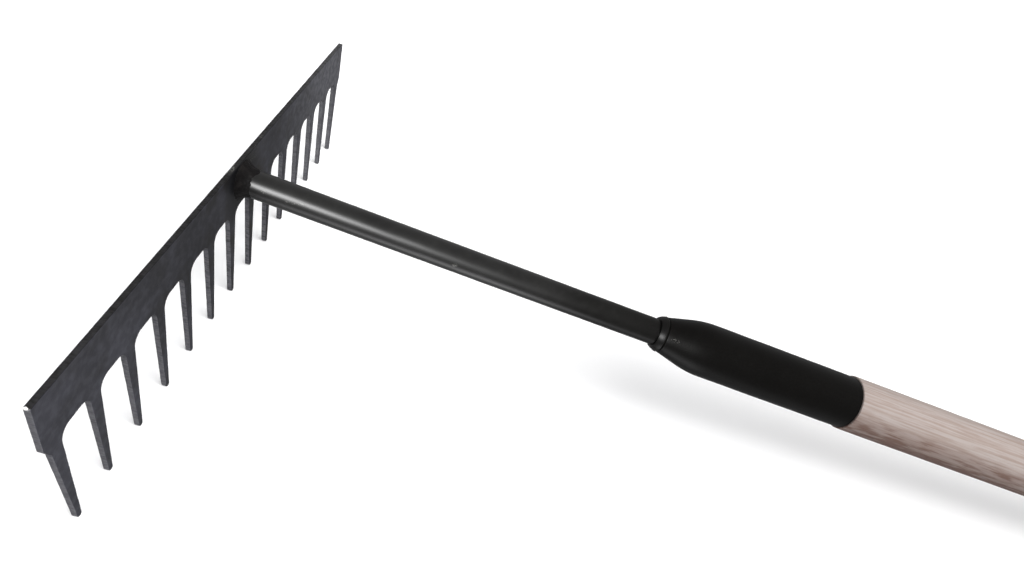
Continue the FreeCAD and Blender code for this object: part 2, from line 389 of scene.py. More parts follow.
def rounded_outline(
    corners: np.ndarray, radii: np.ndarray, arc_points: int, spacing: float
) -> np.ndarray:
    """A closed outline through corners, each rounded by an arc tangent to its two sides.

    An arc's centre lies on the corner's bisector, at the radius over the sine of half the
    corner's angle. Long sides are then divided so that no two points are further apart than
    the spacing.

    Args:
        corners: positions, one row of two numbers each, in order round the outline.
        radii: each corner's radius.
        arc_points: how many points each arc has.
        spacing: the largest distance between neighbours.

    Returns:
        Positions round the outline, one row of two numbers each.
    """
    back = np.roll(corners, 1, axis=0) - corners
    ahead = np.roll(corners, -1, axis=0) - corners
    back /= np.linalg.norm(back, axis=1, keepdims=True)
    ahead /= np.linalg.norm(ahead, axis=1, keepdims=True)
    half = np.arccos(np.clip((back * ahead).sum(1), -1.0, 1.0)) / 2
    bisector = back + ahead
    bisector /= np.linalg.norm(bisector, axis=1, keepdims=True)
    centre = corners + bisector * (radii / np.sin(half))[:, None]
    cut_back = (radii / np.tan(half))[:, None]
    first = corners + back * cut_back - centre
    last = corners + ahead * cut_back - centre
    begin = np.arctan2(first[:, 1], first[:, 0])
    sweep = np.arctan2(last[:, 1], last[:, 0]) - begin
    sweep = (sweep + math.pi) % FULL_TURN - math.pi
    angle = begin[:, None] + sweep[:, None] * np.linspace(0.0, 1.0, arc_points)
    arcs = centre[:, None, :] + radii[:, None, None] * np.stack([np.cos(angle), np.sin(angle)], -1)
    knots = arcs.reshape(-1, 2)
    ring = np.vstack([knots, knots[:1]])
    walked = np.concatenate([[0.0], np.cumsum(np.linalg.norm(np.diff(ring, axis=0), axis=1))])
    even = np.arange(0.0, walked[-1], spacing)
    clear = np.abs(even - walked[np.searchsorted(walked, even).clip(1) - 1]) > spacing / 4
    clear &= np.abs(even - walked[np.searchsorted(walked, even)]) > spacing / 4
    stations = np.sort(np.concatenate([walked[:-1], even[clear]]))
    return np.stack([np.interp(stations, walked, ring[:, k]) for k in (0, 1)], -1)


def turned_piece(
    name: str,
    local: LocalFrame,
    profile: np.ndarray,
    ring: bool,
    uneven: float = 0.0,
    seed: int = 0,
) -> bpy.types.Object:
    """A surface of revolution about a local frame's Y axis.

    A point at the angle a lies at (r cos a, y, r sin a), where r and y are the profile's. Where
    the piece is uneven, r is first taken in by up to that much, by slow waves round the turn
    whose phase drifts along the profile.

    Args:
        name: the object's name.
        local: the frame that it is turned in.
        profile: rows of radius and distance along the axis.
        ring: the profile is a loop. Otherwise it starts and ends on the axis.
        uneven: how far the radius wanders, in metres.
        seed: the seed of that wandering.

    Returns:
        The object.
    """
    angle = np.arange(TURNED_SIDES) * FULL_TURN / TURNED_SIDES
    radius = np.repeat(profile[:, :1], TURNED_SIDES, axis=1)
    drift = profile[:, 1:] * DRIFT_PER_METRE
    dent = 0.5 * (waves(angle[None, :] + drift, range(2, 7), seed) - 1.0)
    radius = np.maximum(radius + uneven * dent * (radius > 0), 0.0)
    along = np.repeat(profile[:, 1:], TURNED_SIDES, axis=1)
    points = np.stack([radius * np.cos(angle), along, radius * np.sin(angle)], -1)
    faces = grid_faces(len(profile), TURNED_SIDES, ring, True)
    return closed_mesh(name, local.to_rake(points).reshape(-1, 3), [faces], TURNED_CREASE_DEG)


# ---------------------------------------------------------------- finishes


@dataclass(frozen=True)
class Spot:
    """A ragged spot on a coat.

    Attributes:
        centre: its middle, in the local frame of its piece.
        reach: how far it spreads along each axis.
        density: the share of it that is marked, from 0 to 1.
    """

    centre: Triple
    reach: Triple
    density: float = 1.0

    RAGGED = 0.9
    RIM = (1.45, 1.25)

    def mask(self, graph: Graph, place: Signal, edge: Signal) -> Signal:
        """1 inside the spot and 0 outside it.

        Args:
            graph: the material's graph.
            place: the local position.
            edge: noise from 0 to 1 that makes its outline ragged.

        Returns:
            The mask, from the length of the offset divided by the reach, plus the noise.
        """
        offset = graph.beyond(place, self.centre)
        away = graph.length(graph.stretched(offset, tuple(1.0 / r for r in self.reach)))
        return (away + edge * self.RAGGED).between(*self.RIM)


def on_bar(radius: float, along: float, angle_deg: float) -> Triple:
    """A place on a round bar's skin, its angle measured from +X towards up."""
    angle = math.radians(angle_deg)
    return radius * math.cos(angle), along, radius * math.sin(angle)


@dataclass(frozen=True)
class PowderCoat:
    """Black powder coat on steel.

    Attributes:
        name: the material's name.
        local: the frame of the piece that it covers.
        deep: the coat's own colour.
        haze: its colour where it is dusty; the plate's coat also uses it for painted sheen towards
            its ends.
        roughness: its lowest and highest roughness.
        gloss: its specular level.
        lumps: the depth of the lumps under it, in metres.
        chips: spots of bare steel.
        scuffs: patches of pale dust specks.
    """

    name: str
    local: LocalFrame
    deep: Colour
    haze: Colour
    roughness: tuple[float, float]
    gloss: float
    lumps: float = 0.0
    chips: tuple[Spot, ...] = ()
    scuffs: tuple[Spot, ...] = ()

    BARE_STEEL = (0.90, 0.89, 0.87)
    DUST = (0.17, 0.17, 0.155)
    PEEL_DEPTH = 0.05 * MM
    CLOUD_SCALE = 26.0
    MOTTLE_SCALE = 230.0
    PEEL_SCALE = 1100.0
    LUMP_SCALE = 420.0
    RAGGED_SCALE = 750.0
    SPECK_SCALE = (1500.0, 900.0, 1500.0)

    def haze_mask(self, graph: Graph, place: Signal, cloud: Signal, mottle: Signal) -> Signal:
        """How dusty the coat is, from broad clouds and finer mottling.

        Args:
            graph: the material's graph.
            place: the local position.
            cloud: broad noise from 0 to 1.
            mottle: finer noise from 0 to 1.

        Returns:
            The share of haze, from 0 to 1.
        """
        return cloud.between(0.38, 0.68) * 0.6 + mottle.between(0.42, 0.75) * 0.4

    def special_faces(
        self, graph: Graph, place: Signal, colour: Signal, roughness: Signal, relief: Signal
    ) -> tuple[Signal, Signal, Signal]:
        """Change the colour, roughness and relief where faces differ: nowhere on a plain coat.

        Args:
            graph: the material's graph.
            place: the local position.
            colour: the coat's colour so far.
            roughness: its roughness so far.
            relief: its height so far, in metres.

        Returns:
            The colour, the roughness and the relief.
        """
        return colour, roughness, relief

    def shine(self, graph: Graph, place: Signal, mottle: Signal) -> dict:
        """Values of the clear coat's sockets: none on a plain coat."""
        return {}

    def material(self) -> bpy.types.Material:
        """Build the material: haze, relief, what differs by face, dust specks, then chips.

        Returns:
            The material.
        """
        material, graph = new_material(self.name)
        place = graph.position(self.local)
        cloud = graph.noise(place, self.CLOUD_SCALE, 4.0)
        mottle = graph.noise(place, self.MOTTLE_SCALE, 4.0)
        peel = graph.noise(place, self.PEEL_SCALE, 1.0)
        colour = graph.mix(self.haze_mask(graph, place, cloud, mottle), self.deep, self.haze)
        low, high = self.roughness
        roughness = low + (high - low) * (mottle * 0.6 + cloud * 0.4)
        relief = peel * self.PEEL_DEPTH
        if self.lumps:
            relief = relief + graph.noise(place, self.LUMP_SCALE, 2.0) * self.lumps
        colour, roughness, relief = self.special_faces(graph, place, colour, roughness, relief)
        values = {}
        if self.scuffs or self.chips:
            ragged = graph.noise(place, self.RAGGED_SCALE, 2.0)
            specks = graph.noise(place, self.SPECK_SCALE, 1.0)
            for scuff in self.scuffs:
                edge = 0.70 - 0.25 * scuff.density
                dust = scuff.mask(graph, place, ragged) * specks.between(edge, edge + 0.12)
                colour = graph.mix(dust * 0.75, colour, self.DUST)
                roughness = roughness + dust * 0.2
            bare = [chip.mask(graph, place, ragged) for chip in self.chips]
            for mask in bare:
                colour = graph.mix(mask, colour, self.BARE_STEEL)
            if bare:
                values["Metallic"] = sum(bare[1:], bare[0]) * 0.35
        values.update({
            "Base Color": colour,
            "Roughness": roughness,
            "Normal": graph.bump(relief, 1.0),
            "Specular IOR Level": self.gloss,
        })
        values.update(self.shine(graph, place, mottle))
        graph.surface(values)
        return material


@dataclass(frozen=True)
class CutPlateCoat(PowderCoat):
    """The coat on the cut plate: dusty flat sides with painted sheen towards their ends, rough cut
    faces paler partly from painted light, and a top edge darkened with painted shade.
    """

    # Cut faces: partly their rough cut finish, partly painted light.
    CUT_FACE_AND_PAINTED_LIGHT = (0.125, 0.124, 0.136)
    # Painted shade on the upward top edge.
    TOP_EDGE_PAINTED_SHADE = (0.0040, 0.0034, 0.0030)
    BROWN = (0.012, 0.011, 0.009)
    # Painted shade on the plate round the neck's foot.
    PAINTED_SHADE_ROUND_NECK = (0.003, 0.003, 0.003)
    NECK_FOOT = (0.0, 0.0, 0.078)
    CUT_DEPTH = 0.3 * MM
    COMB_SCALE = (1000.0, 160.0, 1000.0)
    PIT_SCALE = 330.0
    PATCH_SCALE = 60.0

    def haze_mask(self, graph: Graph, place: Signal, cloud: Signal, mottle: Signal) -> Signal:
        """Clouds and mottling of dust, and painted sheen that pales both ends, the far end most."""
        # Paler towards both ends of the plate: painted sheen.
        painted_sheen_ends = graph.part(place, "X").math("ABSOLUTE").between(0.05, 0.18)
        plain = cloud.between(0.38, 0.68) * 0.35 + mottle.between(0.40, 0.75) * 0.30
        # Paler still at the far end: painted sheen of the glancing view.
        far = graph.part(place, "X").between(-0.02, -0.14)
        return plain + painted_sheen_ends * 0.35 + far * 0.25

    def facing(self, graph: Graph, way: np.ndarray) -> Signal:
        """How much a face looks along a direction, from -1 to 1."""
        return graph.dot(graph.node("ShaderNodeNewGeometry", {}, {}, "Normal"), way)

    def special_faces(
        self, graph: Graph, place: Signal, colour: Signal, roughness: Signal, relief: Signal
    ) -> tuple[Signal, Signal, Signal]:
        """Comb the cut faces and pale them partly with painted light, darken the top edge with
        painted shade, brown the band near the neck, and darken round the neck's foot with painted
        shade.
        """
        cut = self.facing(graph, self.local.along).math("ABSOLUTE").between(0.75, 0.35)
        top = self.facing(graph, self.local.axes[2]).between(0.45, 0.75)
        combed = graph.noise(place, self.COMB_SCALE, 3.0)
        pits = graph.noise(place, self.PIT_SCALE, 3.0)
        flecks = combed.between(0.36, 0.60) * 0.6 + pits.between(0.35, 0.6) * 0.4
        patches = graph.noise(place, self.PATCH_SCALE, 4.0)
        middle = graph.part(place, "X").math("ABSOLUTE").between(0.075, 0.015)
        brown = patches.between(0.45, 0.65) * (0.30 + 0.60 * middle)
        colour = graph.mix(brown, colour, self.BROWN)
        # Darker round the neck's foot: painted shade between neck and plate.
        from_neck = graph.length(graph.beyond(place, self.NECK_FOOT))
        neck_foot_shade = (from_neck + patches * 0.020).between(0.040, 0.022)
        colour = graph.mix(neck_foot_shade * 0.85, colour, self.PAINTED_SHADE_ROUND_NECK)
        # Pale the cut faces: their rough cut finish and painted light.
        colour = graph.mix(cut * (0.25 + 0.75 * flecks), colour, self.CUT_FACE_AND_PAINTED_LIGHT)
        # Darken the faces turned upward: painted shade.
        colour = graph.mix(top * (0.75 + 0.25 * flecks), colour, self.TOP_EDGE_PAINTED_SHADE)
        roughness = roughness + cut * 0.10 - top * 0.25
        rough_cut = (combed * 0.6 + pits * 0.4) * self.CUT_DEPTH
        relief = relief * (1.0 - cut) + rough_cut * cut
        return colour, roughness, relief

    def shine(self, graph: Graph, place: Signal, mottle: Signal) -> dict:
        """A clear coat that is strongest at the far end and weakest by the neck."""
        along = graph.part(place, "X")
        far, near = along.between(-0.03, -0.16), along.between(0.03, 0.16)
        weight = 0.06 + 0.80 * far + 0.24 * near
        worn = 0.6 + 0.8 * mottle.between(0.35, 0.65)
        return {"Coat Weight": weight * worn, "Coat Roughness": 0.45}


@dataclass(frozen=True)
class BarCoat(PowderCoat):
    """The coat on the neck and its ring weld, which grows cleaner and duller towards the socket."""

    def haze_mask(self, graph: Graph, place: Signal, cloud: Signal, mottle: Signal) -> Signal:
        """Clouds and mottling that fade out along the neck and the cone."""
        plain = cloud.between(0.35, 0.70) * 0.6 + mottle.between(0.42, 0.75) * 0.4
        fade = graph.part(place, "Y").between(0.30, 0.18)
        return plain * (0.05 + 0.95 * fade)

    def shine(self, graph: Graph, place: Signal, mottle: Signal) -> dict:
        """A clear coat that fades along the neck."""
        weight = 0.25 + 0.70 * graph.part(place, "Y").between(0.24, 0.15)
        return {"Coat Weight": weight, "Coat Roughness": 0.36}


@dataclass(frozen=True)
class SocketCoat(BarCoat):
    """The coat on the socket, which has no clear coat."""

    def shine(self, graph: Graph, place: Signal, mottle: Signal) -> dict:
        """No clear coat."""
        return {}


@dataclass(frozen=True)
class PaleHardwood:
    """Sanded pale hardwood with lengthwise grain that reddens towards its heart; the heart lies off
    the lower side, so the dark red there is partly painted shade.

    Attributes:
        name: the material's name.
        local: the shaft's frame.
        heart: where the tree's middle lies beside the handle, as X and Z in that frame; off the
            lower side, so its reddening also paints that side's shade.
        ring_width: the distance between two growth rings.
        scuffs: grey smudges.
    """

    name: str
    local: LocalFrame
    heart: tuple[float, float] = (0.034, -0.028)
    ring_width: float = 0.0021
    scuffs: tuple[Spot, ...] = ()

    PALE = (0.400, 0.345, 0.320)
    TAN = (0.315, 0.248, 0.216)
    # Dark red of the heartwood, which also paints shade on the lower side.
    RED_HEART_AND_SHADE = (0.165, 0.098, 0.077)
    GREY = (0.215, 0.190, 0.180)
    GRAIN_DEPTH = 0.1 * MM
    SWAY = 10.0 * MM
    SWAY_SCALE = (30.0, 3.2, 30.0)
    FIBRE_SCALE = (900.0, 22.0, 900.0)
    PORE_SCALE = (1900.0, 260.0, 1900.0)
    BLOTCH_SCALE = (85.0, 13.0, 85.0)
    FINE_SCALE = (420.0, 60.0, 420.0)

    def material(self) -> bpy.types.Material:
        """Build the material."""
        material, graph = new_material(self.name)
        place = graph.position(self.local)
        sway = graph.noise(place, self.SWAY_SCALE, 2.0)
        fibre = graph.noise(place, self.FIBRE_SCALE, 4.0)
        pores = graph.noise(place, self.PORE_SCALE, 2.0)
        blotch = graph.noise(place, self.BLOTCH_SCALE, 4.0)
        fine = graph.noise(place, self.FINE_SCALE, 3.0)
        across = graph.part(place, "X") - self.heart[0]
        upwards = graph.part(place, "Z") - self.heart[1]
        from_heart = (across * across + upwards * upwards).math("SQRT")
        years = (from_heart + sway * self.SWAY) / self.ring_width
        ring = (years * FULL_TURN).math("SINE") * 0.5 + 0.5
        grain = ring * 0.14 + fibre.between(0.3, 0.7) * 0.60 + fine.between(0.3, 0.7) * 0.26
        colour = graph.mix(grain.between(0.15, 0.95), self.PALE, self.TAN)
        # Reddening towards the heart on the lower side: heartwood colour and painted shade.
        heart_and_lower_shade = (from_heart + blotch * 0.012).between(0.0490, 0.0400)
        streaks = 0.45 + 0.55 * (fine * 0.5 + blotch * 0.5).between(0.42, 0.56)
        colour = graph.mix(heart_and_lower_shade * streaks * 0.95, colour, self.RED_HEART_AND_SHADE)
        colour = graph.mix(pores.between(0.58, 0.72) * 0.22, colour, self.GREY)
        for scuff in self.scuffs:
            smudge = scuff.mask(graph, place, fine) * blotch.between(0.3, 0.6)
            colour = graph.mix(smudge * scuff.density, colour, self.GREY)
        height = fibre * 0.6 + pores * 0.4
        graph.surface({
            "Base Color": colour,
            "Roughness": 0.55 + 0.15 * fibre,
            "Normal": graph.bump(height, self.GRAIN_DEPTH),
            "Specular IOR Level": 0.25,
        })
        return material


@dataclass(frozen=True)
class ZincPlate:
    """Dull zinc plating on a screw.

    Attributes:
        name: the material's name.
        local: the shaft's frame.
    """

    name: str
    local: LocalFrame

    BRIGHT = (0.62, 0.62, 0.60)
    DULL = (0.36, 0.36, 0.34)
    BRUSH_DEPTH = 0.02 * MM
    STAIN_SCALE = 600.0
    BRUSH_SCALE = (3000.0, 400.0, 400.0)

    def material(self) -> bpy.types.Material:
        """Build the material."""
        material, graph = new_material(self.name)
        place = graph.position(self.local)
        stain = graph.noise(place, self.STAIN_SCALE, 3.0)
        brushed = graph.noise(place, self.BRUSH_SCALE, 2.0)
        graph.surface({
            "Base Color": graph.mix(stain.between(0.35, 0.65), self.BRIGHT, self.DULL),
            "Roughness": 0.28 + 0.25 * stain,
            "Metallic": 1.0,
            "Normal": graph.bump(brushed, self.BRUSH_DEPTH),
        })
        return material


# ---------------------------------------------------------------- the rake's pieces


def dress(piece: bpy.types.Object, material: bpy.types.Material) -> None:
    """Give a piece one material, in every slot that it has."""
    if not piece.data.materials:
        piece.data.materials.append(material)
    for place in range(len(piece.data.materials)):
        piece.data.materials[place] = material
    for holder in piece.material_slots:
        holder.material = material


def install(piece: bpy.types.Object, node: str, material: bpy.types.Material) -> None:
    """Put a finished piece in the place of a CAD node.

    Args:
        piece: the piece, in the rake's frame.
        node: the CAD node that it stands for.
        material: its finish.
    """
    dress(piece, material)
    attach(piece, "root")
    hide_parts(node)
    log.info("%s replaces %s with %d faces", piece.name, node, len(piece.data.polygons))


def span(local: LocalFrame, node: str) -> tuple[float, float, float]:
    """Where a CAD node starts and ends along a frame's Y axis, and its largest radius."""
    points = local.from_rake(node_points(node))
    radius = np.hypot(points[:, 0], points[:, 2]).max()
    return points[:, 1].min(), points[:, 1].max(), radius


@dataclass
class ToothedPlate:
    """The flat steel head with its row of tapered tines.

    Its width, height, thickness, number of tines and pitch come from the frame.
    """

    local: LocalFrame
    tine_length: float = 62.3 * MM
    root_width: float = 7.8 * MM
    tip_width: float = 3.0 * MM
    tip_round: float = 1.4 * MM
    gap_round: float = 6.2 * MM
    shoulder_step: float = 3.2 * MM
    shoulder_height: float = 6.5 * MM
    end_tip_inset: float = 2.1 * MM
    corner_round: float = 0.8 * MM
    edge_round: float = 0.4 * MM
    cut_wander: float = 0.16 * MM
    half_width: float = field(init=False)
    height: float = field(init=False)
    thickness: float = field(init=False)
    tine_middles: np.ndarray = field(init=False)

    LEAN_PER_METRE = 2.0
    BROAD_MARKS = range(150, 260, 12)
    FINE_MARKS = range(520, 900, 40)

    def __post_init__(self) -> None:
        """Read the plate's overall sizes from its CAD node and from the gaps in the record."""
        reach = self.local.from_rake(node_points("toothed_head"))
        self.half_width = reach[:, 0].max()
        self.height = reach[:, 2].max()
        self.thickness = -reach[:, 1].min()
        boxes = np.array([o["box_m"] for o in frame["record"]["physics"]["openings"]])
        gaps = np.sort(boxes[:, :, 0].mean(1))
        pitch = np.diff(gaps).mean()
        self.tine_middles = np.append(gaps - pitch / 2, gaps[-1] + pitch / 2)[::-1]

    def corners(self) -> tuple[np.ndarray, np.ndarray]:
        """The outline's corners, clockwise from the top left, and their radii.

        Each tine has four corners: at its root, its tip, its tip again and its other root. The
        two end tines have a shoulder in place of their outer root.
        """
        root, tip = self.root_width / 2, self.tip_width / 2
        offsets = np.array([root, tip, -tip, -root])
        heights = np.array([self.tine_length, 0.0, 0.0, self.tine_length])
        rounds = np.array([self.gap_round, self.tip_round, self.tip_round, self.gap_round])
        middles = self.tine_middles[1:-1]
        inner = np.stack([
            (middles[:, None] + offsets).ravel(),
            np.tile(heights, len(middles)),
            np.tile(rounds, len(middles)),
        ], -1)
        last = self.tine_middles[0]
        shoulder = self.half_width - self.shoulder_step
        tip_middle = last - self.end_tip_inset
        right_end = np.array([
            [self.half_width, self.tine_length, self.corner_round],
            [shoulder, self.tine_length - self.shoulder_height, self.corner_round],
            [tip_middle + tip, 0.0, self.tip_round],
            [tip_middle - tip, 0.0, self.tip_round],
            [last - root, self.tine_length, self.gap_round],
        ])
        left_end = right_end[::-1] * [-1.0, 1.0, 1.0]
        top = np.array([
            [-self.half_width, self.height, self.corner_round],
            [self.half_width, self.height, self.corner_round],
        ])
        every = np.vstack([top, right_end, inner, left_end])
        return every[:, :2], every[:, 2]

    def section(self) -> np.ndarray:
        """The edge's section: rows of inset from the outline and depth behind the front face.

        It goes round a quarter circle, straight through the plate, and round another.
        """
        turn = np.linspace(0.0, math.pi / 2, 5)
        inset = self.edge_round * (1.0 - np.sin(turn))
        depth = self.edge_round * (1.0 - np.cos(turn))
        front = np.stack([inset, depth], -1)
        through = np.linspace(self.edge_round, self.thickness - self.edge_round, 8)[1:-1]
        side = np.stack([np.zeros(through.size), through], -1)
        back = front[::-1] * [1.0, -1.0] + [0.0, self.thickness]
        return np.vstack([front, side, back])

    def build(self, coat: PowderCoat) -> None:
        """Carry the edge's section round the outline, close both faces, and dress the plate.

        A point lies at the outline, minus the outward normal times the inset and the cut's
        wander, at the section's depth. The wander is a sum of waves round the outline whose
        phase leans with the depth, as the marks of a thermal cut do.
        """
        corners, radii = self.corners()
        outline = rounded_outline(corners, radii, 9, 0.8 * MM)
        ahead = np.roll(outline, -1, axis=0) - np.roll(outline, 1, axis=0)
        ahead /= np.linalg.norm(ahead, axis=1, keepdims=True)
        outward = np.stack([-ahead[:, 1], ahead[:, 0]], -1)
        section = self.section()
        steps = np.linalg.norm(np.diff(outline, axis=0, append=outline[:1]), axis=1)
        turn = np.cumsum(steps) / steps.sum() * FULL_TURN
        angle = turn[:, None] + section[None, :, 1] * self.LEAN_PER_METRE
        wander = 0.6 * waves(angle, self.BROAD_MARKS, 3) + 0.4 * waves(angle, self.FINE_MARKS, 4)
        cut = self.cut_wander * np.clip(0.5 - 0.5 * wander, 0.0, 1.0)
        inset = section[None, :, 0] + cut
        flat = outline[:, None, :] - outward[:, None, :] * inset[:, :, None]
        depth = np.broadcast_to(-section[None, :, 1], inset.shape)
        points = np.stack([flat[..., 0], depth, flat[..., 1]], -1)
        rows, columns = inset.shape
        sides = grid_faces(rows, columns, True, False)
        front_face = (np.arange(rows) * columns)[None, :]
        back_face = (np.arange(rows) * columns + columns - 1)[None, ::-1]
        where = self.local.to_rake(points).reshape(-1, 3)
        piece = closed_mesh("toothed_plate", where, [sides, front_face, back_face], 50.0)
        large = np.array([len(p.vertices) > 4 for p in piece.data.polygons])
        piece.data.polygons.foreach_set("use_smooth", ~large)
        install(piece, "toothed_head", coat.material())


@dataclass
class WeldedShaft:
    """The neck bar, its two welds and the socket.

    Radii and places along the shaft come from the frame.
    """

    head: LocalFrame
    local: LocalFrame
    foot_leg: float = 4.3 * MM
    foot_rise: float = 8.5 * MM
    sunk: float = 0.6 * MM
    cone_length: float = 23.8 * MM
    shoulder_radius: float = 65.0 * MM
    lip_round: float = 1.1 * MM
    crown_place: float = 0.80
    bead_step: float = 1.7 * MM
    groove_height: float = 2.45 * MM
    small_end_wall: float = 2.9 * MM
    neck_seat: float = 6.0 * MM
    wall: float = 1.6 * MM

    def neck(self) -> bpy.types.Object:
        """A straight bar, from inside the plate to inside the socket, with a chamfered end."""
        _, end, radius = span(self.local, "neck_bar")
        chamfer = 1.5 * MM
        stations = np.linspace(-self.sunk, end - chamfer, 60)
        body = np.stack([np.full(stations.size, radius), stations], -1)
        start = [[0.0, -self.sunk]]
        nose = [[radius - chamfer, end], [0.0, end]]
        profile = np.vstack([start, body, nose])
        return turned_piece("neck", self.local, profile, False, 0.05 * MM, 11)

    def foot_weld(self) -> bpy.types.Object:
        """A hollow fillet between the plate's front face and the neck.

        At each angle round the neck the fillet's face is the quadratic Bezier curve from its
        foot on the plate to its top on the neck, with its middle handle drawn in towards the
        corner between them. The foot's radius and the top's height wander with slow waves.
        The section closes just inside the plate and the neck.
        """
        _, _, radius = span(self.local, "neck_bar")
        angle = np.arange(160) * FULL_TURN / 160
        across = np.stack([np.cos(angle), np.sin(angle)], -1)
        ripple = 0.03 * waves(angle, range(17, 26, 2), 23)
        leg = self.foot_leg * (0.90 + 0.07 * waves(angle, range(2, 9), 21) + ripple)
        rise = self.foot_rise * (0.86 + 0.11 * waves(angle, range(2, 7), 22) + ripple)
        middle = self.head.from_rake(self.local.origin)
        plane_slope = math.tan(self.local.tilt - self.head.tilt)

        def on_neck(r: np.ndarray, along: np.ndarray) -> np.ndarray:
            """Points at a radius and a distance along the shaft, in the rake's frame."""
            local = np.stack([r * across[:, 0], along, r * across[:, 1]], -1)
            return self.local.to_rake(local)

        def on_plate(r: np.ndarray, depth: float) -> np.ndarray:
            """Points round the neck's foot at a depth behind the plate's face."""
            local = np.stack([r * across[:, 0], np.full(angle.size, -depth), r * across[:, 1]], -1)
            return self.head.to_rake(local + middle)

        foot = on_plate(radius + leg, 0.0)
        top = on_neck(np.full(angle.size, radius), rise)
        crease = on_neck(np.full(angle.size, radius), -radius * across[:, 1] * plane_slope)
        handle = 0.54 * crease + 0.23 * (foot + top)
        t = np.linspace(0.0, 1.0, 14)[:, None, None]
        face = (1 - t) ** 2 * foot + 2 * t * (1 - t) * handle + t ** 2 * top
        inside_neck = on_neck(np.full(angle.size, radius - self.sunk), rise)
        inside_plate = on_plate(np.full(angle.size, radius - self.sunk), self.sunk)
        under_foot = on_plate(radius + leg, self.sunk)
        rows = np.concatenate([face, inside_neck[None], inside_plate[None], under_foot[None]])
        faces = grid_faces(len(rows), angle.size, True, True)
        return closed_mesh("neck_foot_weld", rows.reshape(-1, 3), [faces], 60.0)

    def ring_weld(self) -> bpy.types.Object:
        """A bead round the neck against the socket.

        Its radius steps up from the neck, rises to the crown along a shallow parabola, and then
        falls to the socket's edge as a cosine. It closes inside the neck and the socket's lip.
        """
        start, end, crown = span(self.local, "socket_weld")
        _, _, neck = span(self.local, "neck_bar")
        rise = np.linspace(0.0, 1.0, 12)
        fall = np.linspace(0.0, 1.0, 14)[1:]
        top = start + self.crown_place * (end - start)
        low_edge = neck + self.bead_step
        groove = neck + self.groove_height
        swell = low_edge + (crown - low_edge) * rise * (1.4 - 0.4 * rise)
        up = np.stack([swell, start + rise * (top - start)], -1)
        down = np.stack([
            groove + (crown - groove) * (0.5 + 0.5 * np.cos(fall * math.pi)),
            top + fall * (end + self.lip_round * 0.35 - top),
        ], -1)
        low = neck - self.sunk
        inside = end + 2 * self.lip_round
        seat = [[groove - self.sunk, inside], [low, inside]]
        profile = np.vstack([[[low, start]], up, down, seat])
        return turned_piece("ring_weld", self.local, profile, True, 0.16 * MM, 12)

    def socket(self) -> bpy.types.Object:
        """A tube drawn down to a cone, as one closed profile of its outer and inner walls."""
        start, end, radius = span(self.local, "socket")
        _, _, neck = span(self.local, "neck_bar")
        cone_end = start + self.cone_length
        bore = radius - self.wall
        corners = np.array([
            [neck - self.sunk, start],
            [neck + self.small_end_wall, start],
            [radius, cone_end],
            [radius, end],
            [bore, end],
            [bore, cone_end],
            [neck - self.sunk, start + self.neck_seat],
        ])
        tiny, rim, inner = 0.15 * MM, 0.35 * MM, 20.0 * MM
        radii = np.array([tiny, self.lip_round, self.shoulder_radius, rim, tiny, inner, tiny])
        profile = rounded_outline(corners, radii, 9, 4.0 * MM)
        return turned_piece("socket_tube", self.local, profile, True, 0.10 * MM, 13)

    def build(self, bar_coat: PowderCoat, weld_coat: PowderCoat, socket_coat: PowderCoat) -> None:
        """Build and dress the four pieces; the ring weld has the bar's coat."""
        bar_material = bar_coat.material()
        install(self.neck(), "neck_bar", bar_material)
        install(self.foot_weld(), "head_weld", weld_coat.material())
        install(self.ring_weld(), "socket_weld", bar_material)
        install(self.socket(), "socket", socket_coat.material())


@dataclass
class WoodenHandle:
    """The wooden shaft, with its tenon in the socket and its rounded butt.

    Its lengths and radii come from the frame.
    """

    local: LocalFrame
    shoulder_round: float = 0.7 * MM
    butt_round: float = 9.0 * MM
    tenon_clearance: float = 1.65 * MM

    def build(self, wood: PaleHardwood) -> None:
        """Turn the handle from one profile, and dress it."""
        start, end, radius = span(self.local, "handle")
        _, mouth, _ = span(self.local, "socket")
        socket_radius = np.abs(node_points("socket")[:, 0]).max()
        tenon = socket_radius - self.tenon_clearance
        corners = np.array([
            [0.0, start],
            [tenon, start],
            [tenon, mouth],
            [radius, mouth],
            [radius, end],
            [0.0, end],
        ])
        tiny = 0.05 * MM
        radii = np.array([0.0, 2.0 * MM, tiny, self.shoulder_round, self.butt_round, 0.0])
        loop = rounded_outline(corners, radii + 1e-9, 10, 12.0 * MM)
        on_axis = loop[:, 0] < 1e-6
        first = int(np.argmax(on_axis & ~np.roll(on_axis, -1)))
        loop = np.roll(loop, -first, axis=0)
        off_axis = loop[:, 0] >= 1e-6
        profile = np.vstack([[[0.0, start]], loop[off_axis], [[0.0, end]]])
        piece = turned_piece("wooden_handle", self.local, profile, False, 0.12 * MM, 31)
        install(piece, "handle", wood.material())


def dress_screw(zinc: ZincPlate) -> None:
    """Give the CAD screw under the socket its plating."""
    dress(frame["nodes"]["handle_screw"], zinc.material())
    log.info("handle_screw keeps its CAD shape")


# ---------------------------------------------------------------- studio


class Reach(Enum):
    """Which rays a light answers."""

    SHADING = "shading"
    REFLECTIONS = "reflections"


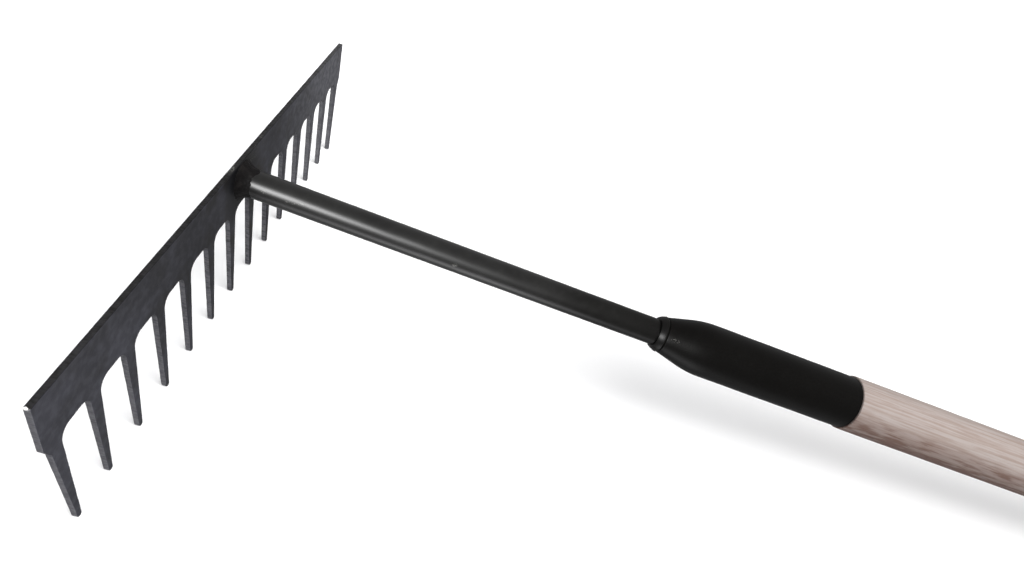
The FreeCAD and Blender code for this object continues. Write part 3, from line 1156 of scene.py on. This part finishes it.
@dataclass(frozen=True)
class Studio:
    """A pale floor, an even sky and two soft lights.

    Attributes:
        head: the head's frame, which the lights and the camera are placed in.
        floor_half: half the floor's side.
        sun_angle_deg: how wide the soft overhead light looks.
    """

    head: LocalFrame
    floor_half: float = 30.0
    sun_angle_deg: float = 60.0

    PAPER = (0.93, 0.93, 0.93)
    PAPER_SHADE = (0.90, 0.90, 0.90)
    SKY_HIGH = (0.46, 0.46, 0.47)
    SKY_LOW = (0.30, 0.30, 0.305)
    GLOW_TOWARDS = (0.67, 0.0, -0.74)
    GLOW_STRENGTH = 3.5

    def floor(self) -> None:
        """A square sheet of pale paper at the height of the rake's lowest point."""
        low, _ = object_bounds()
        steps = np.linspace(-self.floor_half, self.floor_half, 9)
        across, along = np.meshgrid(steps, steps)
        points = np.stack([across, along, np.full_like(across, low[2])], -1).reshape(-1, 3)
        mesh = bpy.data.meshes.new("floor")
        mesh.from_pydata(points.tolist(), [], grid_faces(9, 9, False, False).tolist())
        sheet = bpy.data.objects.new("floor", mesh)
        bpy.context.scene.collection.objects.link(sheet)
        material, graph = new_material("pale_paper")
        place = graph.node("ShaderNodeTexCoord", {}, {}, "Object")
        cloud = graph.noise(place, 3.0, 2.0)
        paper = graph.mix(cloud, self.PAPER, self.PAPER_SHADE)
        graph.surface({
            "Base Color": paper,
            "Roughness": 1.0,
            "Specular IOR Level": 0.0,
            "Emission Color": paper,
            "Emission Strength": 0.12,
        })
        dress(sheet, material)
        sheet.visible_diffuse = False
        sheet.visible_glossy = False
        sheet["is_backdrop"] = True

    def sky(self) -> None:
        """A grey surround, brighter overhead, with a glow low on one side as of a lit floor."""
        world = bpy.data.worlds.new("soft_surround")
        world.use_nodes = True
        bpy.context.scene.world = world
        graph = Graph(world.node_tree)
        way = graph.node("ShaderNodeTexCoord", {}, {}, "Generated")
        rise = graph.part(way, "Z").between(-0.9, 0.9)
        shade = graph.mix(rise, self.SKY_LOW, self.SKY_HIGH)
        near = graph.dot(way, np.array(self.GLOW_TOWARDS) @ self.head.axes)
        strength = 1.0 + self.GLOW_STRENGTH / self.SKY_LOW[0] * near.between(0.93, 1.0)
        values = {"Color": shade, "Strength": strength}
        surround = graph.node("ShaderNodeBackground", {}, values, "Background")
        graph.node("ShaderNodeOutputWorld", {}, {"Surface": surround})

    def light(
        self, name: str, kind: str, towards: Triple, away: float, power: float, reach: Reach
    ) -> bpy.types.Light:
        """One light that looks at the neck.

        Args:
            name: its name.
            kind: Blender's type of light.
            towards: the direction from the neck to it, in the head's frame.
            away: its distance.
            power: its strength, in the unit of its kind.
            reach: what it adds to.

        Returns:
            The light's data, for its size.
        """
        lamp = bpy.data.lights.new(name, kind)
        lamp.energy = power
        holder = bpy.data.objects.new(name, lamp)
        aim = self.head.to_rake(np.array([0.0, 45.0 * MM, 75.0 * MM]))
        offset = np.array(towards) / np.linalg.norm(towards) * away
        holder.location = Vector(aim + offset @ self.head.axes)
        holder.rotation_euler = (Vector(aim) - holder.location).to_track_quat("-Z", "Y").to_euler()
        holder.visible_glossy = reach is Reach.REFLECTIONS
        holder.visible_diffuse = reach is Reach.SHADING
        bpy.context.scene.collection.objects.link(holder)
        return lamp

    def lights(self) -> None:
        """A soft light for shade and shadow, and a softbox for the streak along the neck."""
        sun = self.light("soft_sun", "SUN", (0.36, 0.45, 0.82), 3.0, 3.5, Reach.SHADING)
        sun.angle = math.radians(self.sun_angle_deg)
        box = self.light("streak_box", "AREA", (0.868, -0.249, 0.429), 0.9, 11.5, Reach.REFLECTIONS)
        box.shape = "DISK"
        box.size = 0.42

    def build(self) -> None:
        """Build the whole studio."""
        self.floor()
        self.sky()
        self.lights()


@dataclass(frozen=True)
class Viewpoint:
    """The camera's place and aim, in the head's frame.

    Attributes:
        head: that frame.
        eye: where it stands.
        heading_deg: which way it looks, from +Y towards -X.
        pitch_deg: how far down it looks.
        roll_deg: how far its right side is lifted.
        lens_mm: its focal length on a 36 mm wide sensor.
    """

    head: LocalFrame
    eye: Triple = (0.31821, 0.13248, 0.32392)
    heading_deg: float = 83.576
    pitch_deg: float = 39.964
    roll_deg: float = 20.432
    lens_mm: float = 23.727

    def build(self) -> None:
        """Make the scene's camera."""
        angles = (self.heading_deg, self.pitch_deg, self.roll_deg)
        heading, pitch, roll = (math.radians(angle) for angle in angles)
        forward = np.array([
            -math.sin(heading) * math.cos(pitch),
            math.cos(heading) * math.cos(pitch),
            -math.sin(pitch),
        ])
        level = np.array([math.cos(heading), math.sin(heading), 0.0])
        upright = np.cross(level, forward)
        right = level * math.cos(roll) + upright * math.sin(roll)
        up = np.cross(right, forward)
        columns = np.stack([right, up, -forward]) @ self.head.axes
        data = bpy.data.cameras.new("camera")
        data.lens = self.lens_mm
        data.sensor_width = 36.0
        data.clip_start = 0.01
        camera = bpy.data.objects.new("camera", data)
        turn = Matrix(columns.T.tolist()).to_4x4()
        where = self.head.to_rake(np.array(self.eye))
        camera.matrix_world = Matrix.Translation(Vector(where)) @ turn
        bpy.context.scene.collection.objects.link(camera)
        bpy.context.scene.camera = camera


def main() -> None:
    """Build the rake, the studio and the camera."""
    logging.basicConfig(level=logging.INFO, format="%(name)s: %(message)s")
    bpy.context.scene.view_settings.view_transform = "Standard"
    head = head_frame()
    shaft = shaft_frame(head)
    Viewpoint(head).build()
    Studio(head).build()

    head_coat = CutPlateCoat(
        name="head_powder_coat",
        local=head,
        deep=(0.014, 0.014, 0.017),
        haze=(0.068, 0.069, 0.086),
        roughness=(0.42, 0.58),
        gloss=0.20,
        chips=(
            Spot((0.1822, -0.0020, 0.0905), (0.0014, 0.0014, 0.0016)),
        ),
        scuffs=(
            Spot((-0.0150, 0.0, 0.0860), (0.0080, 0.0020, 0.0050), 0.5),
            Spot((0.0120, -0.0020, 0.0902), (0.0040, 0.0016, 0.0010), 0.8),
            Spot((-0.0280, -0.0010, 0.0880), (0.0040, 0.0020, 0.0030), 0.5),
        ),
    )
    ToothedPlate(head).build(head_coat)

    bar, cone = 0.0081, 0.0120
    bar_coat = BarCoat(
        name="bar_powder_coat",
        local=shaft,
        deep=(0.0030, 0.0027, 0.0022),
        haze=(0.011, 0.0108, 0.0096),
        roughness=(0.34, 0.44),
        gloss=0.10,
        scuffs=(
            Spot(on_bar(bar, 0.0145, 23.0), (0.0012, 0.0018, 0.0012), 0.7),
            Spot(on_bar(bar, 0.0300, 21.0), (0.0014, 0.0040, 0.0012), 0.6),
            Spot(on_bar(bar, 0.0365, 26.0), (0.0012, 0.0020, 0.0012), 0.7),
            Spot(on_bar(bar, 0.1310, 10.0), (0.0014, 0.0022, 0.0014), 0.8),
        ),
    )
    socket_coat = SocketCoat(
        name="socket_powder_coat",
        local=shaft,
        deep=(0.0015, 0.0012, 0.0008),
        haze=(0.016, 0.0155, 0.0140),
        roughness=(0.36, 0.46),
        gloss=0.14,
        scuffs=(
            Spot(on_bar(cone, 0.2755, 36.0), (0.0018, 0.0050, 0.0016), 0.45),
            Spot(on_bar(cone, 0.2830, 28.0), (0.0016, 0.0040, 0.0014), 0.45),
        ),
    )
    weld_coat = PowderCoat(
        name="weld_powder_coat",
        local=shaft,
        deep=(0.0040, 0.0035, 0.0036),
        haze=(0.018, 0.016, 0.015),
        roughness=(0.48, 0.62),
        gloss=0.12,
        lumps=0.0009,
    )
    WeldedShaft(head, shaft).build(bar_coat, weld_coat, socket_coat)
    wood = PaleHardwood(
        name="pale_hardwood",
        local=shaft,
        scuffs=(Spot(on_bar(0.018, 0.4265, 93.5), (0.0016, 0.0055, 0.0030), 0.75),),
    )
    WoodenHandle(shaft).build(wood)
    dress_screw(ZincPlate("zinc_plate", shaft))


if __name__ == "__main__":
    main()
